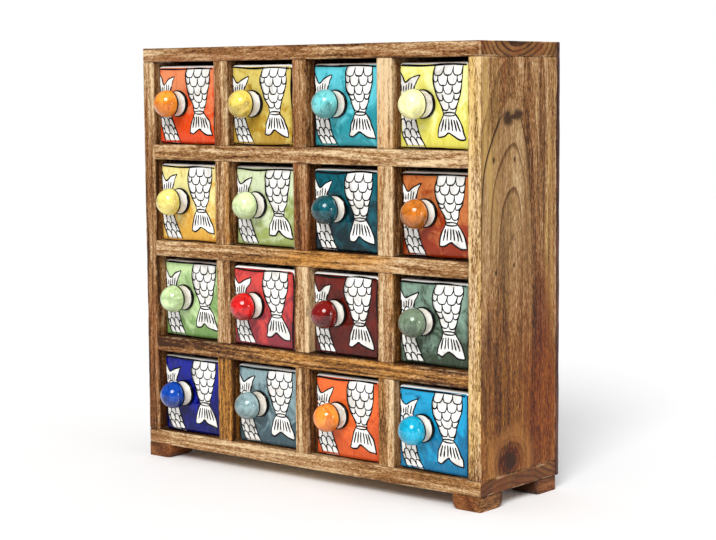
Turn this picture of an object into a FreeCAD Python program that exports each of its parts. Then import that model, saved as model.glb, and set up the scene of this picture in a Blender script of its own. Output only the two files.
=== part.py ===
import FreeCAD, Part
import math
import os

# Tabletop spice cabinet: a lattice of wooden boards with one ceramic drawer in every compartment.
# Millimetres. X runs along the width, Y from the front to the back and Z upwards.
# The origin lies on the ground, under the middle of the cabinet's whole width and depth.

# Compartments
COLUMNS = 4
ROWS = 4
OPENING_WIDTH = 61.8
OPENING_HEIGHT = 59.9

# Boards
SIDE_THICKNESS = 10.0
TOP_THICKNESS = 10.0
BOTTOM_THICKNESS = 10.5
SHELF_THICKNESS = 11.2
DIVIDER_THICKNESS = 12.6
BOARD_DEPTH = 87.7
BACK_THICKNESS = 4.0
BOARD_ROUNDING = 0.8
BACK_ROUNDING = 0.5

# Feet
FOOT_WIDTH = 22.6
FOOT_DEPTH = 24.6
FOOT_HEIGHT = 9.6
FOOT_ROUNDING = 5.2

# Drawers
DRAWER_SIDE_GAP = 2.1
DRAWER_BACK_GAP = 0.6
DRAWER_TOP_GAP = 3.0
DRAWER_FRONT_WALL = 5.5
DRAWER_WALL = 4.5
DRAWER_FLOOR = 5.0
DRAWER_OUTER_ROUNDING = 2.6
DRAWER_LIP_ROUNDING = 1.2

# How far each drawer's face sits behind the front of the boards, row by row from the top left
DRAWER_RECESS = [
    [3.7, 2.7, 5.5, 5.2],
    [4.2, 5.7, 4.6, 7.1],
    [6.6, 1.9, 3.1, 4.4],
    [4.9, 5.4, 4.5, 3.4],
]

# Knobs: a flange on the drawer's face, a waisted collar and a ball
KNOB_LEFT_OF_MIDDLE = 7.8
KNOB_ABOVE_MIDDLE = 1.2
KNOB_FLANGE_RADIUS = 9.2
KNOB_FLANGE_LENGTH = 2.0
KNOB_WAIST_RADIUS = 8.1
KNOB_NECK_RADIUS = 9.1
KNOB_BALL_RADIUS = 9.85
KNOB_BALL_CENTRE = 11.7
KNOB_BALL_REAR = 1.5
KNOB_HOLE_DEPTH = 12.0

# Knob fixings: a stud cemented into the knob, with a washer and a nut inside the drawer
STUD_RADIUS = 2.0
STUD_TAIL = 1.4
STUD_CHAMFER = 0.4
CEMENT_GAP = 0.1
DRAWER_HOLE_GAP = 0.5
WASHER_RADIUS = 4.6
WASHER_THICKNESS = 0.8
WASHER_HOLE_GAP = 0.2
NUT_ACROSS_FLATS = 7.0
NUT_THICKNESS = 3.0
NUT_THREAD_GAP = 0.05

# Nails of the back panel
NAIL_RADIUS = 0.8
NAIL_HEAD_RADIUS = 2.0
NAIL_HEAD_HEIGHT = 0.7
NAIL_GRIP = 12.0
NAIL_GAP = 0.05
NAILS_PER_SIDE = 4

# Screws of the feet
SCREW_RADIUS = 1.5
SCREW_HEAD_RADIUS = 3.0
SCREW_HEAD_HEIGHT = 1.8
SCREW_RECESS = 0.6
SCREW_GRIP = 7.0
SCREW_GAP = 0.05

# Sizes that follow
inner_width = COLUMNS * OPENING_WIDTH + (COLUMNS - 1) * DIVIDER_THICKNESS
inner_height = ROWS * OPENING_HEIGHT + (ROWS - 1) * SHELF_THICKNESS
outer_width = inner_width + 2 * SIDE_THICKNESS
bottom_board_z = FOOT_HEIGHT
inner_z = bottom_board_z + BOTTOM_THICKNESS
top_board_z = inner_z + inner_height
top_z = top_board_z + TOP_THICKNESS

smallest_recess = min(min(row) for row in DRAWER_RECESS)
largest_recess = max(max(row) for row in DRAWER_RECESS)
drawer_width = OPENING_WIDTH - 2 * DRAWER_SIDE_GAP
drawer_length = BOARD_DEPTH - largest_recess - DRAWER_BACK_GAP
drawer_height = OPENING_HEIGHT - DRAWER_TOP_GAP
knob_length = KNOB_BALL_CENTRE + KNOB_BALL_RADIUS

whole_depth = knob_length - smallest_recess + BOARD_DEPTH + BACK_THICKNESS + NAIL_HEAD_HEIGHT
front_y = knob_length - smallest_recess - whole_depth / 2
back_y = front_y + BOARD_DEPTH

X_AXIS = FreeCAD.Vector(1, 0, 0)
Y_AXIS = FreeCAD.Vector(0, 1, 0)
Z_AXIS = FreeCAD.Vector(0, 0, 1)
KNOB_OFFSET = FreeCAD.Vector(-KNOB_LEFT_OF_MIDDLE, 0, KNOB_ABOVE_MIDDLE)


def save(node, solids):
    """Write one node's solids to its STEP file."""
    shape = solids[0] if len(solids) == 1 else Part.makeCompound(solids)
    shape.exportStep(f"parts/{node}.step")


def edges_along(shape, direction):
    """The straight edges of a shape that run along a direction."""
    found = []
    for edge in shape.Edges:
        if len(edge.Vertexes) == 2:
            run = edge.Vertexes[1].Point - edge.Vertexes[0].Point
            if run.cross(direction).Length < 1e-6 * run.Length:
                found.append(edge)
    return found


def board(low, high, grain, rounding=BOARD_ROUNDING):
    """A board between two corners, with its four edges along the grain rounded."""
    size = high - low
    box = Part.makeBox(size.x, size.y, size.z, low)
    return box.makeFillet(rounding, edges_along(box, grain))


def left_of_column(column):
    """X of the left edge of a column of compartments."""
    return -inner_width / 2 + column * (OPENING_WIDTH + DIVIDER_THICKNESS)


def floor_of_row(row):
    """Z of the floor of a row of compartments, row 0 being the top one."""
    return inner_z + (ROWS - 1 - row) * (OPENING_HEIGHT + SHELF_THICKNESS)


def make_top_panel():
    low = FreeCAD.Vector(-outer_width / 2, front_y, top_board_z)
    return board(low, FreeCAD.Vector(outer_width / 2, back_y, top_z), X_AXIS)


def make_bottom_panel():
    low = FreeCAD.Vector(-outer_width / 2, front_y, bottom_board_z)
    return board(low, FreeCAD.Vector(outer_width / 2, back_y, inner_z), X_AXIS)


def make_side_panel(side):
    """The panel between the bottom and top boards on side -1 (left) or +1 (right)."""
    low_x = inner_width / 2 if side > 0 else -outer_width / 2
    low = FreeCAD.Vector(low_x, front_y, inner_z)
    return board(low, FreeCAD.Vector(low_x + SIDE_THICKNESS, back_y, top_board_z), Z_AXIS)


def make_shelf(row):
    """The shelf that row's drawers stand on."""
    shelf_top = floor_of_row(row)
    low = FreeCAD.Vector(-inner_width / 2, front_y, shelf_top - SHELF_THICKNESS)
    return board(low, FreeCAD.Vector(inner_width / 2, back_y, shelf_top), X_AXIS)


def make_divider(row, column):
    """The upright between a compartment and the next one to its right."""
    low = FreeCAD.Vector(left_of_column(column) + OPENING_WIDTH, front_y, floor_of_row(row))
    size = FreeCAD.Vector(DIVIDER_THICKNESS, BOARD_DEPTH, OPENING_HEIGHT)
    return board(low, low + size, Z_AXIS)


def make_back_panel():
    low = FreeCAD.Vector(-outer_width / 2, back_y, bottom_board_z)
    high = FreeCAD.Vector(outer_width / 2, back_y + BACK_THICKNESS, top_z)
    return board(low, high, Z_AXIS, BACK_ROUNDING)


def foot_centre(side, end):
    """The middle of a foot's underside: side -1 or +1 in X, end 0 at the front or 1 at the back."""
    x = side * (outer_width - FOOT_WIDTH) / 2
    y = front_y + FOOT_DEPTH / 2 + end * (BOARD_DEPTH - FOOT_DEPTH)
    return FreeCAD.Vector(x, y, 0)


def make_foot(side, end):
    """A corner block whose two lower edges towards the cabinet's middle are rounded off."""
    centre = foot_centre(side, end)
    low = centre - FreeCAD.Vector(FOOT_WIDTH / 2, FOOT_DEPTH / 2, 0)
    block = Part.makeBox(FOOT_WIDTH, FOOT_DEPTH, FOOT_HEIGHT, low)
    inner_x = centre.x - side * FOOT_WIDTH / 2
    inner_y = centre.y + (1 - 2 * end) * FOOT_DEPTH / 2
    rounded = []
    for edge in block.Edges:
        middle = edge.CenterOfMass
        on_inner_side = abs(middle.x - inner_x) < 1e-6 or abs(middle.y - inner_y) < 1e-6
        if abs(middle.z) < 1e-6 and on_inner_side:
            rounded.append(edge)
    return block.makeFillet(FOOT_ROUNDING, rounded)


def nail_places():
    """Where the nails go through the back panel: along the side, top and bottom boards."""
    places = []
    side_x = (outer_width - SIDE_THICKNESS) / 2
    pitch = inner_height / NAILS_PER_SIDE
    for side in (-1, 1):
        for step in range(NAILS_PER_SIDE):
            places.append((side * side_x, inner_z + (step + 0.5) * pitch))
    for column in range(COLUMNS):
        x = left_of_column(column) + OPENING_WIDTH / 2
        places.append((x, bottom_board_z + BOTTOM_THICKNESS / 2))
        places.append((x, top_board_z + TOP_THICKNESS / 2))
    return places


def nail_hole(place):
    """A cylinder from the back panel's rear face into the board in front of it."""
    x, z = place
    start = FreeCAD.Vector(x, back_y - NAIL_GRIP, z)
    return Part.makeCylinder(NAIL_RADIUS + NAIL_GAP, NAIL_GRIP + BACK_THICKNESS, start, Y_AXIS)


def make_nail(place):
    """A nail from a board out to a low domed head on the back panel."""
    x, z = place
    tip = FreeCAD.Vector(0, -NAIL_GRIP, 0)
    tip_rim = FreeCAD.Vector(NAIL_RADIUS, -NAIL_GRIP, 0)
    neck = FreeCAD.Vector(NAIL_RADIUS, BACK_THICKNESS, 0)
    head_rim = FreeCAD.Vector(NAIL_HEAD_RADIUS, BACK_THICKNESS, 0)
    crown = FreeCAD.Vector(0, BACK_THICKNESS + NAIL_HEAD_HEIGHT, 0)
    dome_radius = (NAIL_HEAD_RADIUS ** 2 + NAIL_HEAD_HEIGHT ** 2) / (2 * NAIL_HEAD_HEIGHT)
    half_turn = math.asin(NAIL_HEAD_RADIUS / dome_radius) / 2
    shoulder_drop = dome_radius * (1 - math.cos(half_turn))
    shoulder = FreeCAD.Vector(dome_radius * math.sin(half_turn), crown.y - shoulder_drop, 0)
    outline = Part.Wire([
        Part.makeLine(tip, tip_rim),
        Part.makeLine(tip_rim, neck),
        Part.makeLine(neck, head_rim),
        Part.Arc(head_rim, shoulder, crown).toShape(),
        Part.makeLine(crown, tip),
    ])
    nail = Part.Face(outline).revolve(FreeCAD.Vector(), Y_AXIS, 360)
    nail.translate(FreeCAD.Vector(x, back_y, z))
    return nail


def drilled_for_nails(panel):
    """The panel with a hole for every nail that reaches it."""
    for place in nail_places():
        hole = nail_hole(place)
        if panel.BoundBox.intersect(hole.BoundBox):
            panel = panel.cut(hole)
    return panel


def screw_shape(centre, gap):
    """A countersunk screw from under a foot up into the bottom board, grown by a gap."""
    head_z = SCREW_RECESS if gap == 0 else 0
    head_top = SCREW_RECESS + SCREW_HEAD_HEIGHT
    tip = FOOT_HEIGHT + SCREW_GRIP
    outline = Part.makePolygon([
        FreeCAD.Vector(0, 0, head_z),
        FreeCAD.Vector(SCREW_HEAD_RADIUS + gap, 0, head_z),
        FreeCAD.Vector(SCREW_HEAD_RADIUS + gap, 0, SCREW_RECESS),
        FreeCAD.Vector(SCREW_RADIUS + gap, 0, head_top),
        FreeCAD.Vector(SCREW_RADIUS + gap, 0, tip),
        FreeCAD.Vector(0, 0, tip),
        FreeCAD.Vector(0, 0, head_z),
    ])
    screw = Part.Face(outline).revolve(FreeCAD.Vector(), Z_AXIS, 360)
    screw.translate(centre)
    return screw


def drilled_for_screws(panel, centres):
    """The foot or board with the holes of the foot screws."""
    for centre in centres:
        panel = panel.cut(screw_shape(centre, SCREW_GAP))
    return panel


def face_centre(row, column):
    """The middle of a drawer's face."""
    x = left_of_column(column) + OPENING_WIDTH / 2
    y = front_y + DRAWER_RECESS[row][column]
    return FreeCAD.Vector(x, y, floor_of_row(row) + drawer_height / 2)


def knob_centre(row, column):
    """Where a knob's axis meets its drawer's face."""
    return face_centre(row, column) + KNOB_OFFSET


def make_drawer():
    """An open box, its face centred on the origin and its length along +Y."""
    low = FreeCAD.Vector(-drawer_width / 2, 0, -drawer_height / 2)
    block = Part.makeBox(drawer_width, drawer_length, drawer_height, low)
    block = block.makeFillet(DRAWER_OUTER_ROUNDING, block.Edges)

    pocket_width = drawer_width - 2 * DRAWER_WALL
    pocket_length = drawer_length - DRAWER_FRONT_WALL - DRAWER_WALL
    pocket_low = low + FreeCAD.Vector(DRAWER_WALL, DRAWER_FRONT_WALL, DRAWER_FLOOR)
    drawer = block.cut(Part.makeBox(pocket_width, pocket_length, drawer_height, pocket_low))

    lip = []
    for edge in drawer.Edges:
        box = edge.BoundBox
        at_top = box.ZMin > drawer_height / 2 - 1e-4
        beside_pocket = box.XMax < pocket_width / 2 + 1e-3 and box.XMin > -pocket_width / 2 - 1e-3
        behind_front = box.YMin > DRAWER_FRONT_WALL - 1e-3
        before_back = box.YMax < DRAWER_FRONT_WALL + pocket_length + 1e-3
        if at_top and beside_pocket and behind_front and before_back:
            lip.append(edge)
    drawer = drawer.makeFillet(DRAWER_LIP_ROUNDING, lip)

    hole = Part.makeCylinder(STUD_RADIUS + DRAWER_HOLE_GAP, DRAWER_FRONT_WALL, KNOB_OFFSET, Y_AXIS)
    return drawer.cut(hole)


def make_knob():
    """A turned knob on the origin, standing out along -Y, with a blind hole for its stud."""
    neck_y = KNOB_BALL_CENTRE - KNOB_BALL_REAR
    rim_radius = math.sqrt(KNOB_BALL_RADIUS ** 2 - KNOB_BALL_REAR ** 2)

    flange = FreeCAD.Vector(KNOB_FLANGE_RADIUS, 0, 0)
    flange_end = FreeCAD.Vector(KNOB_FLANGE_RADIUS, -KNOB_FLANGE_LENGTH, 0)
    waist = FreeCAD.Vector(KNOB_WAIST_RADIUS, -(KNOB_FLANGE_LENGTH + neck_y) / 2, 0)
    neck = FreeCAD.Vector(KNOB_NECK_RADIUS, -neck_y, 0)
    ball_rim = FreeCAD.Vector(rim_radius, -neck_y, 0)
    ball_side = FreeCAD.Vector(KNOB_BALL_RADIUS, -KNOB_BALL_CENTRE, 0)
    ball_front = FreeCAD.Vector(0, -knob_length, 0)

    outline = Part.Wire([
        Part.makeLine(FreeCAD.Vector(), flange),
        Part.makeLine(flange, flange_end),
        Part.Arc(flange_end, waist, neck).toShape(),
        Part.makeLine(neck, ball_rim),
        Part.Arc(ball_rim, ball_side, ball_front).toShape(),
        Part.makeLine(ball_front, FreeCAD.Vector()),
    ])
    body = Part.Face(outline).revolve(FreeCAD.Vector(), Y_AXIS, 360)
    hole = Part.makeCylinder(STUD_RADIUS + CEMENT_GAP, KNOB_HOLE_DEPTH, FreeCAD.Vector(), -Y_AXIS)
    return body.cut(hole)


def make_stud():
    """A rod from the end of the knob's hole to just past the nut."""
    length = KNOB_HOLE_DEPTH + DRAWER_FRONT_WALL + WASHER_THICKNESS + NUT_THICKNESS + STUD_TAIL
    start = FreeCAD.Vector(0, -KNOB_HOLE_DEPTH, 0)
    rod = Part.makeCylinder(STUD_RADIUS, length, start, Y_AXIS)
    rims = []
    for edge in rod.Edges:
        if len(edge.Vertexes) == 1:
            rims.append(edge)
    return rod.makeChamfer(STUD_CHAMFER, rims)


def make_washer():
    """A flat ring against the inside of the drawer's front wall."""
    start = FreeCAD.Vector(0, DRAWER_FRONT_WALL, 0)
    disc = Part.makeCylinder(WASHER_RADIUS, WASHER_THICKNESS, start, Y_AXIS)
    return disc.cut(Part.makeCylinder(STUD_RADIUS + WASHER_HOLE_GAP, WASHER_THICKNESS, start, Y_AXIS))


def make_nut():
    """A hexagonal nut behind the washer."""
    start_y = DRAWER_FRONT_WALL + WASHER_THICKNESS
    corner_radius = NUT_ACROSS_FLATS / math.sqrt(3)
    corners = []
    for corner in range(7):
        angle = math.radians(60 * corner)
        corners.append(FreeCAD.Vector(corner_radius * math.cos(angle), start_y,
                                      corner_radius * math.sin(angle)))
    nut = Part.Face(Part.makePolygon(corners)).extrude(FreeCAD.Vector(0, NUT_THICKNESS, 0))
    start = FreeCAD.Vector(0, start_y, 0)
    return nut.cut(Part.makeCylinder(STUD_RADIUS + NUT_THREAD_GAP, NUT_THICKNESS, start, Y_AXIS))


def placed(shape, position):
    """A copy of a shape moved from the origin to a position."""
    copy = shape.copy()
    copy.translate(position)
    return copy


def save_carcass():
    feet_centres = [foot_centre(side, end) for side in (-1, 1) for end in (0, 1)]
    save("top_panel", [drilled_for_nails(make_top_panel())])
    save("bottom_panel", [drilled_for_screws(drilled_for_nails(make_bottom_panel()), feet_centres)])
    save("side_panel_left", [drilled_for_nails(make_side_panel(-1))])
    save("side_panel_right", [drilled_for_nails(make_side_panel(1))])
    save("back_panel", [drilled_for_nails(make_back_panel())])
    for row in range(ROWS - 1):
        save(f"shelf_{row + 1}", [make_shelf(row)])
    dividers = []
    for row in range(ROWS):
        for column in range(COLUMNS - 1):
            dividers.append(make_divider(row, column))
    save("dividers", dividers)
    feet = []
    for side in (-1, 1):
        for end in (0, 1):
            feet.append(drilled_for_screws(make_foot(side, end), [foot_centre(side, end)]))
    save("feet", feet)
    save("foot_screws", [screw_shape(centre, 0) for centre in feet_centres])
    save("back_panel_nails", [make_nail(place) for place in nail_places()])


def save_drawers():
    drawer = make_drawer()
    knob = make_knob()
    fixings = [make_stud(), make_washer(), make_nut()]
    for row in range(ROWS):
        for column in range(COLUMNS):
            axis = knob_centre(row, column)
            place = f"row{row + 1}_col{column + 1}"
            save(f"drawer_{place}", [placed(drawer, face_centre(row, column))])
            save(f"knob_{place}", [placed(knob, axis)])
            save(f"knob_fixing_{place}", [placed(fixing, axis) for fixing in fixings])


os.makedirs("parts", exist_ok=True)
save_carcass()
save_drawers()
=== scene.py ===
import math
import bpy
import mathutils
import numpy as np
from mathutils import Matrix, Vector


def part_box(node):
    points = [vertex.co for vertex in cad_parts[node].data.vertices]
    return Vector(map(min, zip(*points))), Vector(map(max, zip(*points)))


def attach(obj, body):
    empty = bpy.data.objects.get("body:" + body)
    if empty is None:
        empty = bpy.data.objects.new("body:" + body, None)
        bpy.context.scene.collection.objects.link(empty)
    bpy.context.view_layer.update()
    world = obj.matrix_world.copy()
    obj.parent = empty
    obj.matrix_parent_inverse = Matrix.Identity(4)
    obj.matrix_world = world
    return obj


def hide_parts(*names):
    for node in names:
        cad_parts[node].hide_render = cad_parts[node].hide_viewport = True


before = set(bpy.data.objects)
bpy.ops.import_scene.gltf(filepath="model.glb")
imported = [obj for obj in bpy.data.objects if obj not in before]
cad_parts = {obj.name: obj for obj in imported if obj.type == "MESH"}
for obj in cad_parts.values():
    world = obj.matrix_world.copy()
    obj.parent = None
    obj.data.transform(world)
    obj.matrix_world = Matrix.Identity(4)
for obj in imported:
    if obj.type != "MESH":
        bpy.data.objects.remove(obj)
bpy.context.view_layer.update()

bl_info = {
    "name": "Spice Drawer Cabinet",
    "version": (1, 0, 0),
    "blender": (4, 5, 0),
    "location": "View3D > Sidebar > Cabinet",
    "description": "Boards, glazed drawers, painted fish, knobs and a studio for a spice cabinet",
    "category": "Object",
}

MM = 0.001
ROWS = 4
COLUMNS = 4
X, Y, Z = 0, 1, 2


def corners(node):
    """The low and the high corner of a node."""
    return tuple(np.array(corner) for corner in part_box(node))


# A drawer's face is measured from its middle, X to the right and Z up
FACE_LOW, FACE_HIGH = corners("drawer_row1_col1")
FACE_WIDTH = FACE_HIGH[X] - FACE_LOW[X]
FACE_HEIGHT = FACE_HIGH[Z] - FACE_LOW[Z]

# Glaze of each drawer: face above, face below and ball, as red, green and blue out of 255
PAINTS = {
    (1, 1): ("tangerine", (225, 136, 91), (218, 70, 18), (255, 144, 41)),
    (1, 2): ("mustard", (211, 191, 101), (174, 137, 41), (228, 199, 91)),
    (1, 3): ("turquoise", (96, 201, 213), (42, 142, 153), (109, 194, 195)),
    (1, 4): ("lemon", (244, 243, 168), (222, 214, 92), (247, 244, 175)),
    (2, 1): ("amber", (232, 223, 150), (213, 162, 58), (253, 229, 126)),
    (2, 2): ("pale_green", (210, 221, 182), (152, 165, 91), (217, 235, 176)),
    (2, 3): ("teal", (10, 91, 103), (1, 33, 41), (1, 81, 91)),
    (2, 4): ("rust", (194, 114, 59), (146, 46, 9), (192, 109, 28)),
    (3, 1): ("apple_green", (192, 218, 158), (116, 152, 84), (203, 228, 168)),
    (3, 2): ("red", (211, 68, 61), (134, 47, 57), (209, 23, 23)),
    (3, 3): ("oxblood", (104, 22, 4), (80, 20, 10), (114, 6, 3)),
    (3, 4): ("sage", (126, 154, 136), (50, 64, 46), (108, 126, 102)),
    (4, 1): ("cobalt", (5, 20, 138), (1, 4, 84), (4, 66, 163)),
    (4, 2): ("slate", (134, 160, 164), (62, 84, 92), (138, 164, 167)),
    (4, 3): ("orange", (235, 107, 45), (202, 84, 33), (255, 139, 49)),
    (4, 4): ("sky", (19, 158, 204), (13, 110, 152), (3, 158, 192)),
}

# How pale a board is along its length, from the left or from below, and how red or, below 0,
# golden. A divider's key is its row and its gap.
LOOKS = {
    "top_panel": ((.3, .08, .45), (.3, .3, .2)),
    "shelf_1": ((-.05, .28, .5), (.0, -.1, -.1)),
    "shelf_2": ((.72, .42, -.3), (-.2, -.9, .0)),
    "shelf_3": ((-1.1, -1.35, -.3), (.3, -1.1, -.3)),
    "bottom_panel": ((.3, .9, .2), (.0, .0, .0)),
    "side_panel_left": ((-.55, .0, .33), (.3, .0, -.1)),
    (1, 1): ((-.05, .0), (.2, .2)), (1, 2): ((-.05, .15), (.2, .2)),
    (1, 3): ((1.5, 1.6), (.0, .0)), (2, 1): ((.2, .3), (-.3, .0)),
    (2, 2): ((.05, .05), (.7, .5)), (2, 3): ((.65, .75), (.1, -.1)),
    (3, 1): ((.3, .2), (.1, .1)), (3, 2): ((.6, .65), (.0, .0)),
    (3, 3): ((.32, .52), (.0, .0)), (4, 1): ((-.6, -.7), (-1.1, -1.0)),
    (4, 2): ((.5, .5), (.2, .0)), (4, 3): ((.42, .65), (-.2, .0)),
}


def linear(*display):
    """A colour given out of 255 in display values, as scene-linear red, green, blue and alpha."""
    value = np.array(display) / 255.0
    low = value / 12.92
    high = ((value + 0.055) / 1.055) ** 2.4
    return (*np.where(value <= 0.04045, low, high).tolist(), 1.0)


def colour_property(name, description, display):
    """A colour that a user may change, with its default given out of 255."""
    return bpy.props.FloatVectorProperty(
        name=name, description=description, subtype="COLOR", size=4,
        min=0.0, max=1.0, default=linear(*display))


def length_property(name, description, millimetres):
    """A length that a user may change, with its default given in millimetres."""
    return bpy.props.FloatProperty(
        name=name, description=description, subtype="DISTANCE", unit="LENGTH",
        min=0.0, default=millimetres * MM, precision=5)


class WoodSettings(bpy.types.PropertyGroup):
    """Colours and wear of the wooden boards."""
    pale: colour_property("Pale wood", "Colour between the pores", (222, 194, 152))
    middle: colour_property("Middle wood", "Main colour of the boards", (144, 99, 54))
    dark: colour_property("Dark wood", "Colour of the dark figure", (62, 34, 18))
    red: colour_property("Red heartwood", "Colour of the redder boards", (142, 74, 30))
    gold: colour_property("Golden sapwood", "Colour of the yellower boards", (204, 140, 58))
    pale_gold: colour_property("Pale gold", "Golden streaks of the right side", (228, 190, 110))
    stain: colour_property("Stain", "Colour of the stained back panel", (64, 40, 32))
    rounding: length_property("Edge rounding", "Rounding of the boards' edges", 0.9)
    waviness: length_property("Waviness", "How uneven the hand-planed faces are", 0.14)
    ring: length_property("Ring width", "Width of one growth ring", 4.2)


class GlazeSettings(bpy.types.PropertyGroup):
    """Shape and white parts of the drawers."""
    white: colour_property("White glaze", "Colour of the bare white glaze", (246, 245, 240))
    ink: colour_property("Line colour", "Colour of the painted lines", (9, 8, 8))
    pillow: length_property("Pillow", "How far a face's edges lie behind its middle", 0.5)
    rim: length_property("Rim", "Width of the white rim beside and below a face", 0.35)
    lip: length_property("Lip", "Width of the white rim over a face", 1.3)
    outline: length_property("Outline", "Width of the line inside the rim", 1.2)
    stroke: length_property("Brush stroke", "Width of the painted lines", 1.1)
    relief: length_property("Relief", "Height of the painted lines on the face", 0.1)


class PaintSettings(bpy.types.PropertyGroup):
    """The glaze colours of the sixteen drawers."""
    __annotations__ = {
        f"{part}_row{row}_col{column}": colour_property(
            f"{paint[0]} {part}".replace("_", " "), f"Glaze of the drawer's {part}", shade)
        for (row, column), paint in PAINTS.items()
        for part, shade in zip(("above", "below", "ball"), paint[1:])
    }


# Meshes ------------------------------------------------------------------------------------------


def placed(name, data):
    """A new object in the scene."""
    obj = bpy.data.objects.new(name, data)
    bpy.context.scene.collection.objects.link(obj)
    return obj


class Skins:
    """Closed skins of quads, gathered to become one mesh. A skin is an array of loops:
    station, point on the loop, and X, Y, Z in metres. Neighbouring loops are joined by quads
    and the first and last loops are zipped shut."""

    def __init__(self):
        self.points = []
        self.quads = []
        self.kinds = []
        self.values = {}
        self.count = 0

    def add(self, loops, kind=0, **values):
        """Adds a skin. kind is its material's number, one for all or one for each station;
        values are arrays like the loops, kept at the points."""
        stations, around = loops.shape[:2]
        here = np.arange(around)
        after = np.roll(here, -1)
        row = np.arange(stations - 1)[:, None] * around
        sides = np.stack([row + here, row + after, row + around + after, row + around + here], -1)
        left = np.arange(around // 2 - 1)
        right = around - 1 - left
        start = np.stack([left, right, right - 1, left + 1], -1)
        end = np.stack([left, left + 1, right - 1, right], -1) + (stations - 1) * around
        quads = np.concatenate([sides.reshape(-1, 4), start, end])
        flat = loops.reshape(-1, 3)
        corner = flat[quads]
        normal = np.cross(corner[:, 2] - corner[:, 0], corner[:, 3] - corner[:, 1])
        if np.sum(normal * (corner.mean(axis=1) - flat.mean(axis=0))) < 0:
            quads = quads[:, ::-1]
        station_kind = np.broadcast_to(np.asarray(kind), (stations,))
        self.kinds.append(np.concatenate([
            np.repeat(station_kind[:-1], around),
            np.full(len(start), station_kind[0]),
            np.full(len(end), station_kind[-1])]))
        self.points.append(flat)
        self.quads.append(quads + self.count)
        for name, value in values.items():
            array = np.broadcast_to(value, loops.shape).reshape(-1, 3)
            self.values.setdefault(name, []).append(array)
        self.count += len(flat)

    def piece(self, name, materials, body, slot, *replaced):
        """Makes one object of all the skins, riding on a body."""
        points = np.concatenate(self.points)
        quads = np.concatenate(self.quads)
        mesh = bpy.data.meshes.new(name)
        mesh.vertices.add(len(points))
        mesh.vertices.foreach_set("co", points.astype(np.float32).ravel())
        mesh.loops.add(quads.size)
        mesh.loops.foreach_set("vertex_index", quads.astype(np.int32).ravel())
        mesh.polygons.add(len(quads))
        mesh.polygons.foreach_set("loop_start", np.arange(0, quads.size, 4, dtype=np.int32))
        for material in materials:
            mesh.materials.append(material)
        mesh.polygons.foreach_set("material_index", np.concatenate(self.kinds).astype(np.int32))
        for key, arrays in self.values.items():
            attribute = mesh.attributes.new(key, "FLOAT_VECTOR", "POINT")
            attribute.data.foreach_set("vector", np.concatenate(arrays).astype(np.float32).ravel())
        mesh.update(calc_edges=True)
        mesh.shade_smooth()
        obj = placed(name, mesh)
        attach(obj, body)
        if replaced:
            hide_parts(*replaced)


def ripple(points, seed, wavelength, waves=7):
    """Smooth noise from -1 to 1: the mean of a few sine waves in seeded directions, each with a
    length near the given one."""
    random = np.random.default_rng(seed)
    direction = random.normal(size=(waves, 3))
    direction /= np.linalg.norm(direction, axis=1, keepdims=True)
    turns = random.uniform(0.6, 1.7, size=(waves, 1)) / wavelength
    phase = random.uniform(0.0, 2 * math.pi, size=waves)
    angle = 2 * math.pi * points @ (direction * turns).T + phase
    return np.sin(angle).mean(axis=-1) * 1.6


def smooth_line(controls, count):
    """count points on the Catmull-Rom curve through the control points: each span is the cubic
    that leaves and reaches a point along the line between that point's two neighbours."""
    controls = np.asarray(controls, float)
    ends = np.concatenate([
        [2 * controls[0] - controls[1]], controls, [2 * controls[-1] - controls[-2]]])
    place = np.linspace(0, len(controls) - 1, count)
    span = np.minimum(place.astype(int), len(controls) - 2)
    t = (place - span)[:, None]
    before, start, stop, beyond = (ends[span + step] for step in range(4))
    return 0.5 * (2 * start + (stop - before) * t
                  + (2 * before - 5 * start + 4 * stop - beyond) * t ** 2
                  + (3 * start - 3 * stop + beyond - before) * t ** 3)


def spread(half, step, guard):
    """Even places from -half to half about a step apart, an even number of them, with one more
    place a guard's width inside each end."""
    count = max(2, int(round(2 * (half - guard) / step)))
    count += count % 2
    inner = np.linspace(-(half - guard), half - guard, count)
    return np.concatenate([[-half], inner, [half]])


def rounded_outline(half_a, half_t, step_a, step_t, guard, bend=3):
    """The points of a rectangle's outline as (place, normal) pairs, each from -1 to 1. A point lies
    at place * (half - radius) + normal * radius. It starts halfway up the +A side and runs
    anticlockwise, so that its two halves mirror each other."""
    side_a = spread(1.0, step_a / half_a, guard / half_a)
    side_t = spread(1.0, step_t / half_t, guard / half_t)
    turn = np.linspace(0, math.pi / 2, bend + 2)[1:-1]
    upper = side_t[len(side_t) // 2:]
    lower = side_t[:len(side_t) // 2]
    place = []
    normal = []

    def straight(a, t, angle, at_corner=True):
        """One side, and the corner that it ends at."""
        side = np.stack(np.broadcast_arrays(a, t), -1)
        turns = np.full(len(side), angle)
        if at_corner:
            side = np.concatenate([side, np.sign(side[-1:]) * np.ones((bend, 1))])
            turns = np.concatenate([turns, turn + angle])
        place.append(side)
        normal.append(np.stack([np.cos(turns), np.sin(turns)], -1))

    straight(1.0, upper, 0.0)
    straight(side_a[::-1], 1.0, math.pi / 2)
    straight(-1.0, side_t[::-1], math.pi)
    straight(side_a, -1.0, 1.5 * math.pi)
    straight(1.0, lower, 0.0, False)
    return np.concatenate(place), np.concatenate(normal)


# Boards ------------------------------------------------------------------------------------------

# Painted shade: the wood in the compartments is painted darker, where shade falls
PAINTED_SHADE_INSIDE = 0.7    # how much darker the wood's tone is in the compartments


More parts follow.
